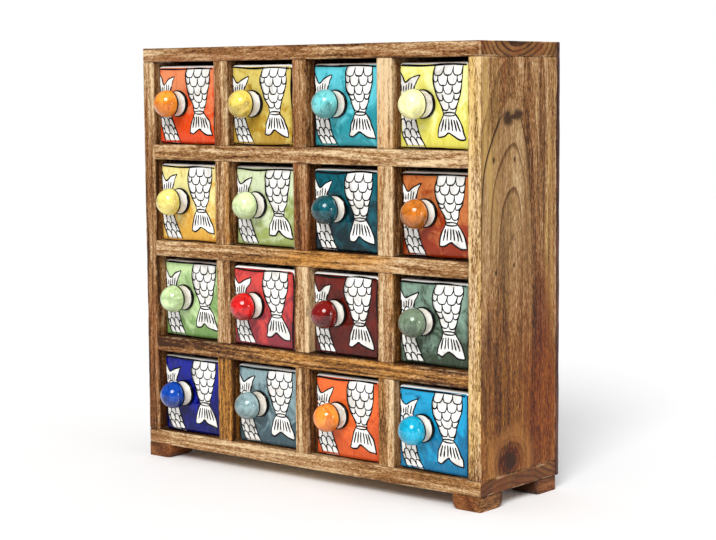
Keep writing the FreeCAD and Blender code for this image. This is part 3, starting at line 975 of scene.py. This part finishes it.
def drawer_skin(place, settings):
    """A drawer from the middle of its underside out, up its walls, over the round lip and down
    inside. Returns the loops and the paint: across, level on the face from 0 to 1, and distance
    inside the painted field."""
    low, high = corners(f"drawer_{place}")
    stations = []

    def station(z, inset, wall, radius, soft):
        """wall is 0 on the outside and 1 inside the walls, soft how much of the pillow is left."""
        side = SIDE_WALL * wall + inset
        front = FRONT_WALL * wall + inset
        corner = (low[X] + side, low[Y] + front, high[X] - side, high[Y] - side)
        stations.append((z, *corner, radius, soft))

    def turn(z, bend, degrees, *rest):
        """Stations round a quarter circle that leaves a wall at z."""
        for angle in np.radians(degrees):
            station(z + bend * math.sin(angle), abs(bend) * (1 - math.cos(angle)), *rest)

    bottom, top = low[Z], high[Z]
    station(bottom, CAP, 0, CAP_CORNER, 0)
    station(bottom, CORNER + 0.6 * MM, 0, CORNER, 0)
    turn(bottom + CORNER, -CORNER, np.linspace(90, 0, 6), 0, CORNER, 1)
    for z in np.linspace(bottom + CORNER, top - LIP_OUTSIDE, 27)[1:-1]:
        station(z, 0, 0, CORNER, 1)
    turn(top - LIP_OUTSIDE, LIP_OUTSIDE, np.linspace(0, 90, 6), 0, CORNER, 1)
    for angle in np.radians(np.linspace(90, 0, 5)):
        station(top - LIP_INSIDE * (1 - math.sin(angle)), -LIP_INSIDE * (1 - math.cos(angle)), 1,
                CORNER, 0)
    floor = bottom + FLOOR
    for z in np.linspace(top - LIP_INSIDE, floor + POCKET_ROUND, 10)[1:]:
        station(z, 0, 1, POCKET_CORNER, 0)
    turn(floor + POCKET_ROUND, -POCKET_ROUND, [30, 60, 90], 1, POCKET_CORNER, 0)
    station(floor, POCKET_ROUND + 0.8 * MM, 1, POCKET_CORNER, 0)
    station(floor, CAP, 1, CAP_CORNER, 0)

    table = np.array(stations)
    outline = rounded_outline(FACE_WIDTH / 2, (high[Y] - low[Y]) / 2, step_a=1.8 * MM,
                              step_t=5 * MM, guard=0.7 * MM, bend=4)
    loops = stacked_skin(table[:, 0], table[:, 1:3], table[:, 3:5], table[:, 5], outline)
    middle = face_middle(place)
    x = loops[..., X] - middle[X]
    z = loops[..., Z] - middle[Z]
    facing = np.clip(-outline[1][:, 1], 0, 1)
    loops[..., Y] += pillow_depth(x, z, settings.pillow) * table[:, 6:7] * facing

    off_x = np.abs(x) - (FACE_WIDTH / 2 - settings.rim - CORNER)
    off_z = np.abs(z) - (FACE_HEIGHT / 2 - np.where(z > 0, settings.lip, settings.rim) - CORNER)
    outside = np.hypot(np.maximum(off_x, 0), np.maximum(off_z, 0))
    field = CORNER - outside - np.minimum(np.maximum(off_x, off_z), 0)
    on_front = (table[:, 6:7] > 0) & (loops[..., Y] < middle[Y] + FRONT_WALL * 0.8)
    paint = np.stack([x, z / FACE_HEIGHT + 0.5, np.where(on_front, field, UNPAINTED)], -1)
    seed = int(1000 * abs(middle[X] + middle[Z]))
    lift = LIP_SAG * ripple(loops, seed, 45 * MM)
    near_lip = np.clip((loops[..., Z] - (top - LIP_OUTSIDE)) / LIP_OUTSIDE, 0, 1)
    loops[..., Z] += np.minimum(lift, 0) * near_lip
    return loops, paint


class CABINET_OT_drawers(bpy.types.Operator):
    """Adds the ceramic drawers with their painted faces"""
    bl_idname = "cabinet.drawers"
    bl_label = "Drawers"

    def execute(self, context):
        settings = context.scene.cabinet_glaze
        paints = context.scene.cabinet_paint
        build_glaze_group()
        soil = linear(205, 200, 190)
        white = plain_glaze_material("White glaze", settings.white, soil, mottle=0.35)
        for row, column, place in each_drawer():
            name = PAINTS[row, column][0]
            above, below = getattr(paints, f"above_{place}"), getattr(paints, f"below_{place}")
            face = glaze_material(f"Glaze {name}", above, below, settings.white,
                                  mottle=0.55, coat=0.35)
            loops, paint = drawer_skin(place, settings)
            skins = Skins()
            skins.add(loops, paint=paint)
            skins.piece(f"drawer_skin_{place}", [face, white], f"drawer_{place}", f"glaze_{name}",
                        f"drawer_{place}")
        return {"FINISHED"}


# Painting ----------------------------------------------------------------------------------------

OVER_FACE = 0.06 * MM       # how thick the white slip lies
UNDER_FACE = -0.25 * MM     # how deep the undersides of slip and lines are sunk
LINE_EDGE = -0.03 * MM

# The edges of the two fish, each with a number of points and the places it passes through. A place
# is a share of the face, from its left edge and from its top edge down.
BIG_FISH = {
    "left": (24, [(.53, .03), (.50, .11), (.49, .20), (.512, .31), (.56, .41), (.608, .50),
                  (.645, .59)]),
    "right": (24, [(.905, .03), (.905, .12), (.898, .22), (.872, .34), (.845, .44), (.82, .52),
                   (.795, .59)]),
    "tail left": (14, [(.645, .585), (.605, .66), (.58, .725), (.565, .785), (.555, .85)]),
    "tail right": (14, [(.795, .585), (.85, .655), (.89, .725), (.92, .80), (.938, .88)]),
    "tail end": (26, [(.555, .85), (.605, .86), (.655, .84), (.71, .80), (.765, .83), (.845, .87),
                      (.938, .88)]),
}
SMALL_FISH = {
    "left": (24, [(.02, .31), (.012, .42), (.012, .55), (.02, .67), (.055, .82), (.125, .972)]),
    "right": (24, [(.215, .33), (.225, .42), (.23, .55), (.245, .67), (.30, .82), (.375, .972)]),
    "tail left": (12, [(.02, .32), (.012, .25), (.01, .17), (.012, .10)]),
    "tail right": (12, [(.215, .34), (.235, .27), (.265, .205), (.295, .14)]),
    "tail end": (20, [(.012, .10), (.05, .17), (.10, .23), (.185, .18), (.295, .14)]),
}
# How wide the line along each edge is, in the order of drawing
BIG_LINES = {"left": 1.1, "right": 0.95, "tail left": 1.1, "tail right": 1.35, "tail end": 1.4}
SMALL_LINES = {"right": 1.2, "left": 0.9, "tail left": 0.9, "tail right": 1.0, "tail end": 1.2}


class Brush:
    """Paints on one face. Its lines and patches follow the face's surface."""

    def __init__(self, place, settings, seed):
        self.middle = face_middle(place)
        self.settings = settings
        self.random = np.random.default_rng(seed)
        self.ink = Skins()
        self.slip = Skins()

    def on_face(self, flat, height):
        """Points X, Y, Z for places (x, z) on the face and heights over it."""
        depth = face_depth(flat[..., 0], flat[..., 1], self.settings.pillow)
        return np.stack([flat[..., 0], depth - height, flat[..., 1]], -1) + self.middle

    def places(self, shares):
        """Places (x, z) in metres for shares of the face."""
        return (shares - 0.5) * (FACE_WIDTH, -FACE_HEIGHT)

    def curve(self, controls, count):
        """A smooth curve of shares through controls that each stray a little."""
        controls = np.array(controls) + self.random.normal(0, 0.006, (len(controls), 2))
        return smooth_line(controls, count)

    def line(self, shares, width, pressure=0.35, closed=False):
        """A brushed line: a closed tube with a lens-shaped section, thinner towards its ends.
        At a share s across it the line stands relief * sqrt(1 - s^2) high."""
        flat = self.places(shares)
        count = len(flat)
        run = np.gradient(flat, axis=0)
        if closed:
            run[0] = run[-1] = flat[1] - flat[-2]
        run /= np.linalg.norm(run, axis=1, keepdims=True)
        beside = np.stack([-run[:, 1], run[:, 0]], -1)
        way = np.linspace(0, 1, count)
        half = np.full(count, 0.5 * width * self.settings.stroke)
        half *= 1 + 0.16 * np.interp(way * 9, np.arange(10), self.random.normal(0, 1, 10))
        if not closed:
            half *= 1 - pressure + pressure * np.sqrt(np.sin(math.pi * np.clip(way, 0.02, 0.98)))
        share = np.array([1.0, 0.72, 0.0, -0.72, -1.0, -0.6, 0.6])
        raised = np.array([0.0, 0.7, 1.0, 0.7, 0.0, 0.0, 0.0]) * self.settings.relief
        raised[[0, 4]] = LINE_EDGE
        raised[[5, 6]] = UNDER_FACE
        spot = flat[:, None, :] + (half[:, None] * share)[..., None] * beside[:, None, :]
        self.ink.add(self.on_face(spot, np.broadcast_to(raised, spot.shape[:2])))

    def patch(self, left, right, top, bottom, across=9):
        """White slip between four curves of shares, as a Coons patch: the sum of the two ruled
        surfaces between opposite sides, less the bilinear one through the corners."""
        s = np.linspace(0, 1, across)[None, :, None]
        t = np.linspace(0, 1, len(left))[:, None, None]
        top, bottom = smooth_line(top, across)[None], smooth_line(bottom, across)[None]
        left, right = left[:, None], right[:, None]
        ruled = (1 - s) * left + s * right + (1 - t) * top + t * bottom
        pinned = ((1 - s) * (1 - t) * left[0] + s * (1 - t) * right[0]
                  + (1 - s) * t * left[-1] + s * t * right[-1])
        flat = self.places(ruled - pinned)
        height = np.full(flat.shape[:2], OVER_FACE)
        height[:, [0, -1]] = 0.0
        over = self.on_face(flat, height)
        under = self.on_face(flat[:, ::-1], np.full(flat.shape[:2], UNDER_FACE))
        self.slip.add(np.concatenate([over, under], axis=1))

    def scales(self, left, right, rows, upward=False):
        """Rows of scales between two edges. A row is (top or bottom share, depth, columns), and
        every second row is shifted by half a scale. Each scale is |cos|^0.6 across and sin^0.75
        down."""
        turn = np.linspace(0.06, math.pi - 0.06, 9)
        wide = -np.sign(np.cos(turn)) * np.abs(np.cos(turn)) ** 0.6
        for number, (start, depth, columns) in enumerate(rows):
            bounds = (np.arange(columns + 2) - 0.5 * (number % 2)) / columns
            bounds = np.clip(bounds, 0, 1)
            for near, far in zip(bounds[:-1], bounds[1:]):
                if far - near < 0.1:
                    continue
                share = (near + far) / 2 + (far - near) / 2 * wide
                deep = depth * np.sin(turn) ** 0.75 * (0.45 + 0.55 * min(1, (far - near) * columns))
                deep += self.random.normal(0, 0.006)
                y = start - deep if upward else start + deep
                first = np.interp(y, left[:, 1], left[:, 0])
                last = np.interp(y, right[:, 1], right[:, 0])
                scale = np.stack([first + (last - first) * share, y], -1)
                self.line(scale, width=1.15, pressure=0.3)

    def rays(self, starts, ends, width):
        """Short lines from one row of points to another, bending a little."""
        for start, end in zip(starts, ends):
            middle = (start + end) / 2 + self.random.normal(0, 0.003, 2)
            self.line(smooth_line([start, middle, end], 6), width, pressure=0.45)

    def outline(self):
        """The lines round the painted field: strong over it and on its right, thin elsewhere."""
        rim = self.settings.rim / FACE_WIDTH
        top = (self.settings.lip + 0.4 * self.settings.outline) / FACE_HEIGHT
        bottom, left, right = 1 - 2.0 * rim, 2.0 * rim, 1 - 2.4 * rim
        low_right = right - .004
        sides = [
            ([(left, top + .03), (.03, top + .004), (.35, top + .012), (.7, top),
              (right, top + .01)], 1.2),
            ([(right, top + .01), (right, .3), (low_right, .7), (low_right, bottom)], 1.05),
            ([(low_right, bottom), (.6, bottom), (.3, bottom - .005), (.02, bottom - .01)], 1.0),
            ([(left, bottom - .02), (left, .7), (left, .35), (left, top + .03)], 0.9),
        ]
        for controls, width in sides:
            wide = width * self.settings.outline / self.settings.stroke
            self.line(self.curve(controls, 30), wide, pressure=0.3)

    def fish(self, edges, lines, tail_columns):
        """A fish's body and tail in white slip with a line along each edge. Returns the body's
        edges."""
        drawn = {name: self.curve(controls, count) for name, (count, controls) in edges.items()}
        left, right, tail_left, tail_right, end = drawn.values()
        end[0], end[-1] = tail_left[-1], tail_right[-1]
        self.patch(left, right, [left[0], right[0]], [left[-1], right[-1]])
        self.patch(tail_left, tail_right, [tail_left[0], tail_right[0]], end, tail_columns)
        for name, width in lines.items():
            self.line(drawn[name], width)
        return left, right

    def big_fish(self):
        """The large fish from above, with a ring round its waist."""
        left, right = self.fish(BIG_FISH, BIG_LINES, tail_columns=21)
        turn = np.linspace(0, 2 * math.pi, 15)
        waist = np.stack([.72 + .085 * np.cos(turn), .592 + .02 * np.sin(turn)], -1)
        self.line(waist, width=1.15, closed=True)
        depths = np.array([.108, .108, .10, .095, .088])
        starts = 0.04 + np.cumsum(depths) - depths
        self.scales(left, right, zip(starts, depths * 1.08, (3, 3, 3, 2, 2)))
        across = np.linspace(0, 1, 6)
        starts = np.stack([.64 + .175 * across, .65 - .008 * np.sin(5 * across)], -1)
        ends = np.stack([.605 + .265 * across, .775 + .03 * np.abs(across - 0.45)], -1)
        self.rays(starts, ends, width=1.55)

    def small_fish(self):
        """The small fish at the left, whose tail stands up."""
        left, right = self.fish(SMALL_FISH, SMALL_LINES, tail_columns=17)
        columns = (3, 3, 3, 2, 2, 2)
        rows = [(.972 - .104 * number, .112, count) for number, count in enumerate(columns)]
        self.scales(left, right, rows, upward=True)
        across = np.linspace(0, 1, 6)
        starts = np.stack([.035 + .17 * across, np.full(6, .335)], -1)
        ends = np.stack([.03 + .20 * across, .25 + .02 * np.sin(7 * across)], -1)
        self.rays(starts, ends, width=1.25)


class CABINET_OT_painting(bpy.types.Operator):
    """Paints two fish and a line round the edge on every face"""
    bl_idname = "cabinet.painting"
    bl_label = "Painting"

    def execute(self, context):
        settings = context.scene.cabinet_glaze
        chalk, soil, soot = linear(248, 247, 243), linear(214, 211, 204), linear(16, 13, 12)
        white = plain_glaze_material("White slip", chalk, soil, mottle=0.4)
        ink = plain_glaze_material("Ink", settings.ink, soot, mottle=0.2, coat=0.0, shine=0.15)
        for row, column, place in each_drawer():
            brush = Brush(place, settings, 100 * row + column)
            brush.outline()
            brush.big_fish()
            brush.small_fish()
            slot = f"glaze_{PAINTS[row, column][0]}"
            brush.slip.piece(f"fish_slip_{place}", [white], f"drawer_{place}", slot)
            brush.ink.piece(f"fish_ink_{place}", [ink], f"drawer_{place}", slot)
        return {"FINISHED"}


# Knobs -------------------------------------------------------------------------------------------


def lathe(profile, origin, sides, wobble, seed):
    """A turned skin round the Y axis through a point. profile is (distance out of the face, radius)
    of every station; the radius strays by wobble with two, three and five waves round."""
    turn = np.linspace(0, 2 * math.pi, sides, endpoint=False)
    random = np.random.default_rng(seed)
    phase = random.uniform(0, 2 * math.pi, 3)
    stray = sum(np.sin(waves * turn + phase[index]) for index, waves in enumerate((2, 3, 5))) / 3
    radius = profile[:, 1:2] * (1 + wobble * stray)
    loops = np.empty((len(profile), sides, 3))
    loops[..., X] = origin[X] + radius * np.cos(turn)
    loops[..., Y] = origin[Y] - profile[:, 0:1]
    loops[..., Z] = origin[Z] + radius * np.sin(turn)
    return loops


def knob_profile():
    """(distance, radius, material number) of a knob's stations in millimetres: black flange, partly
    a painted line and partly painted shade at the knob's foot, white waisted collar, black ring and
    coloured ball."""
    ball, centre = 9.85, 11.7
    black, collar, glaze = 0, 1, 2
    stations = [(-0.5, 8.2, black), (-0.5, 9.0, black), (0.1, 9.5, black), (0.7, 9.72, black),
                (1.4, 9.75, black), (2.0, 9.6, black), (2.4, 9.2, black), (2.55, 8.8, collar)]
    for share in np.linspace(0, 1, 13)[1:-1]:
        waist = 8.7 + 0.2 * share - 0.8 * math.sin(math.pi * share)
        stations.append((2.55 + 6.85 * share, waist, collar))
    stations += [(9.45, 8.95, black), (9.6, 9.4, black), (9.95, 9.75, black), (10.5, 9.92, black),
                 (11.2, 9.95, black), (11.6, 9.87, glaze)]
    for angle in np.radians(np.linspace(90, 178, 20)):
        stations.append((centre - ball * math.cos(angle), ball * math.sin(angle), glaze))
    return np.array(stations)


class CABINET_OT_knobs(bpy.types.Operator):
    """Adds the ball knobs"""
    bl_idname = "cabinet.knobs"
    bl_label = "Knobs"

    def execute(self, context):
        settings = context.scene.cabinet_glaze
        paints = context.scene.cabinet_paint
        table = knob_profile()
        ink = bpy.data.materials["Ink"]
        cream, soil = linear(238, 234, 224), linear(206, 196, 180)
        collar = plain_glaze_material("Collar glaze", cream, soil, mottle=0.6)
        for row, column, place in each_drawer():
            name = PAINTS[row, column][0]
            shade = getattr(paints, f"ball_{place}")
            # Painted light and shade: the ball's top is painted lighter and its lower side darker,
            # as if lit from above, and a pale ball's lower side less dark
            darker = 0.42 + 0.4 * sum(shade[:3]) / 3
            deep = [darker * part for part in shade]
            painted_lit_top = [min(1.0, 1.15 * part) for part in shade]
            ball = glaze_material(f"Ball {name}", painted_lit_top, deep, settings.white,
                                  mottle=0.7, coat=1.0)
            low, high = corners(f"knob_{place}")
            origin = [(low[X] + high[X]) / 2, high[Y], (low[Z] + high[Z]) / 2]
            loops = lathe(table[:, :2] * MM, origin, 64, wobble=0.006, seed=7 * row + column)
            paint = np.zeros_like(loops)
            # The level, which blends the painted lit top into the painted shaded underside, runs
            # from about 1 at the ball's top to about 0.1 at its underside
            paint[..., 1] = 0.55 + (loops[..., Z] - origin[Z]) * 45
            paint[..., 2] = 1.0
            skins = Skins()
            skins.add(loops, table[:, 2].astype(int), paint=paint)
            skins.piece(f"knob_skin_{place}", [ink, collar, ball], f"drawer_{place}",
                        f"glaze_{name}", f"knob_{place}")
        return {"FINISHED"}


class CABINET_OT_fixings(bpy.types.Operator):
    """Gives the studs, nuts, washers, nails and screws their metal"""
    bl_idname = "cabinet.fixings"
    bl_label = "Fixings"

    def execute(self, context):
        zinc = metal_material("Zinc plate", linear(196, 198, 196), linear(140, 140, 134))
        steel = metal_material("Dull steel", linear(128, 122, 114), linear(84, 66, 54))
        nodes = {"foot_screws": zinc, "back_panel_nails": steel}
        nodes.update({f"knob_fixing_{place}": zinc for *_, place in each_drawer()})
        for name, metal in nodes.items():
            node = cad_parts[name]
            node.data.materials.clear()
            node.data.materials.append(metal)
        return {"FINISHED"}


# Studio ------------------------------------------------------------------------------------------

FLOOR_HALF = 3.0
KEY_PLACE = (0.6, -1.1, 1.0)
KEY_POWER = 2.6
KEY_ANGLE = 28.0        # how wide the light is seen from the cabinet, in degrees
FILL_PLACE = (1.75, -0.15, 0.42)
FILL_POWER = 4.0
FILL_SIZE = (0.3, 0.45)
LENS, SENSOR = 90.45, 36.0
# The camera's place, to the right of the middle, out from the front and over the floor, and its
# turns in degrees
CAMERA_RIGHT, CAMERA_OUT, CAMERA_UP = 0.8166, 0.9289, 0.2769
YAW, PITCH, ROLL = 39.48, 5.93, -0.414


def aimed(obj, target):
    """Turns a light to a point."""
    way = mathutils.Vector(target) - obj.location
    obj.rotation_euler = way.to_track_quat("-Z", "Y").to_euler()


def lamp(name, kind, place, target, power):
    """A light at a place that shines to a point. Returns the object."""
    light = bpy.data.lights.new(name, kind)
    light.energy = power
    obj = placed(name, light)
    obj.location = place
    aimed(obj, target)
    return obj


class CABINET_OT_studio(bpy.types.Operator):
    """Adds a pale floor, soft lights, a white background and the camera"""
    bl_idname = "cabinet.studio"
    bl_label = "Studio"

    def execute(self, context):
        scene = context.scene
        mesh = bpy.data.meshes.new("floor")
        corner = [(-1, -1), (1, -1), (1, 1), (-1, 1)]
        points = [(FLOOR_HALF * x, FLOOR_HALF * y, 0) for x, y in corner]
        mesh.from_pydata(points, [], [(0, 1, 2, 3)])
        material, nodes, shader = new_material("Floor")
        nodes.feed(shader, {"Base Color": (0.985, 0.985, 0.985, 1.0), "Roughness": 0.85})
        mesh.materials.append(material)
        floor = placed("floor", mesh)

        key = lamp("key", "SUN", KEY_PLACE, target=(0.0, 0.0, 0.0), power=KEY_POWER)
        key.data.angle = math.radians(KEY_ANGLE)
        fill = lamp("right", "AREA", FILL_PLACE, target=(0.0, 0.0, 0.15), power=FILL_POWER)
        fill.data.shape = "RECTANGLE"
        fill.data.size, fill.data.size_y = FILL_SIZE

        world = bpy.data.worlds.new("Studio")
        world.use_nodes = True
        scene.world = world
        nodes = Nodes(world.node_tree)
        path = nodes.wires(nodes.node("ShaderNodeLightPath"))
        strength = path["Is Camera Ray"] * 0.43 + path["Is Glossy Ray"] * -0.37 + 0.57
        background = world.node_tree.nodes["Background"]
        nodes.feed(background, {"Color": (1.0, 1.0, 1.0, 1.0), "Strength": strength})
        scene.view_settings.view_transform = "Standard"

        data = bpy.data.cameras.new("camera")
        data.lens = LENS
        data.sensor_width = SENSOR
        data.sensor_fit = "HORIZONTAL"
        camera = placed("camera", data)
        yaw, pitch, roll = (math.radians(angle) for angle in (YAW, PITCH, ROLL))
        level = mathutils.Vector((-math.sin(yaw), math.cos(yaw), 0.0))
        right = mathutils.Vector((math.cos(yaw), math.sin(yaw), 0.0))
        forward = level * math.cos(pitch) - mathutils.Vector((0.0, 0.0, math.sin(pitch)))
        up = right.cross(forward)
        across = right * math.cos(roll) + up * math.sin(roll)
        upward = up * math.cos(roll) - right * math.sin(roll)
        turn = mathutils.Matrix((across, upward, -forward)).transposed().to_4x4()
        place = (CAMERA_RIGHT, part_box("top_panel")[0][Y] - CAMERA_OUT, CAMERA_UP)
        camera.matrix_world = mathutils.Matrix.Translation(place) @ turn
        scene.camera = camera
        return {"FINISHED"}


class CABINET_PT_panel(bpy.types.Panel):
    """Buttons and settings of the spice cabinet"""
    bl_idname = "CABINET_PT_panel"
    bl_label = "Spice drawer cabinet"
    bl_space_type = "VIEW_3D"
    bl_region_type = "UI"
    bl_category = "Cabinet"

    def draw(self, context):
        layout = self.layout
        for operator in OPERATORS:
            layout.operator(operator.bl_idname)
        for group, kind in SETTINGS.items():
            box = layout.box()
            box.label(text=kind.__doc__)
            for name in kind.__annotations__:
                box.prop(getattr(context.scene, group), name)


OPERATORS = (
    CABINET_OT_boards, CABINET_OT_back_panel, CABINET_OT_feet, CABINET_OT_drawers,
    CABINET_OT_painting, CABINET_OT_knobs, CABINET_OT_fixings, CABINET_OT_studio,
)
SETTINGS = {
    "cabinet_wood": WoodSettings, "cabinet_glaze": GlazeSettings, "cabinet_paint": PaintSettings,
}


def register():
    for kind in (*SETTINGS.values(), *OPERATORS, CABINET_PT_panel):
        bpy.utils.register_class(kind)
    for name, kind in SETTINGS.items():
        setattr(bpy.types.Scene, name, bpy.props.PointerProperty(type=kind))


def unregister():
    for name in SETTINGS:
        delattr(bpy.types.Scene, name)
    for kind in (CABINET_PT_panel, *reversed(OPERATORS), *SETTINGS.values()):
        bpy.utils.unregister_class(kind)


def main():
    register()
    bpy.ops.cabinet.boards()
    bpy.ops.cabinet.back_panel()
    bpy.ops.cabinet.feet()
    bpy.ops.cabinet.drawers()
    bpy.ops.cabinet.painting()
    bpy.ops.cabinet.knobs()
    bpy.ops.cabinet.fixings()
    bpy.ops.cabinet.studio()


if __name__ == "__main__":
    main()
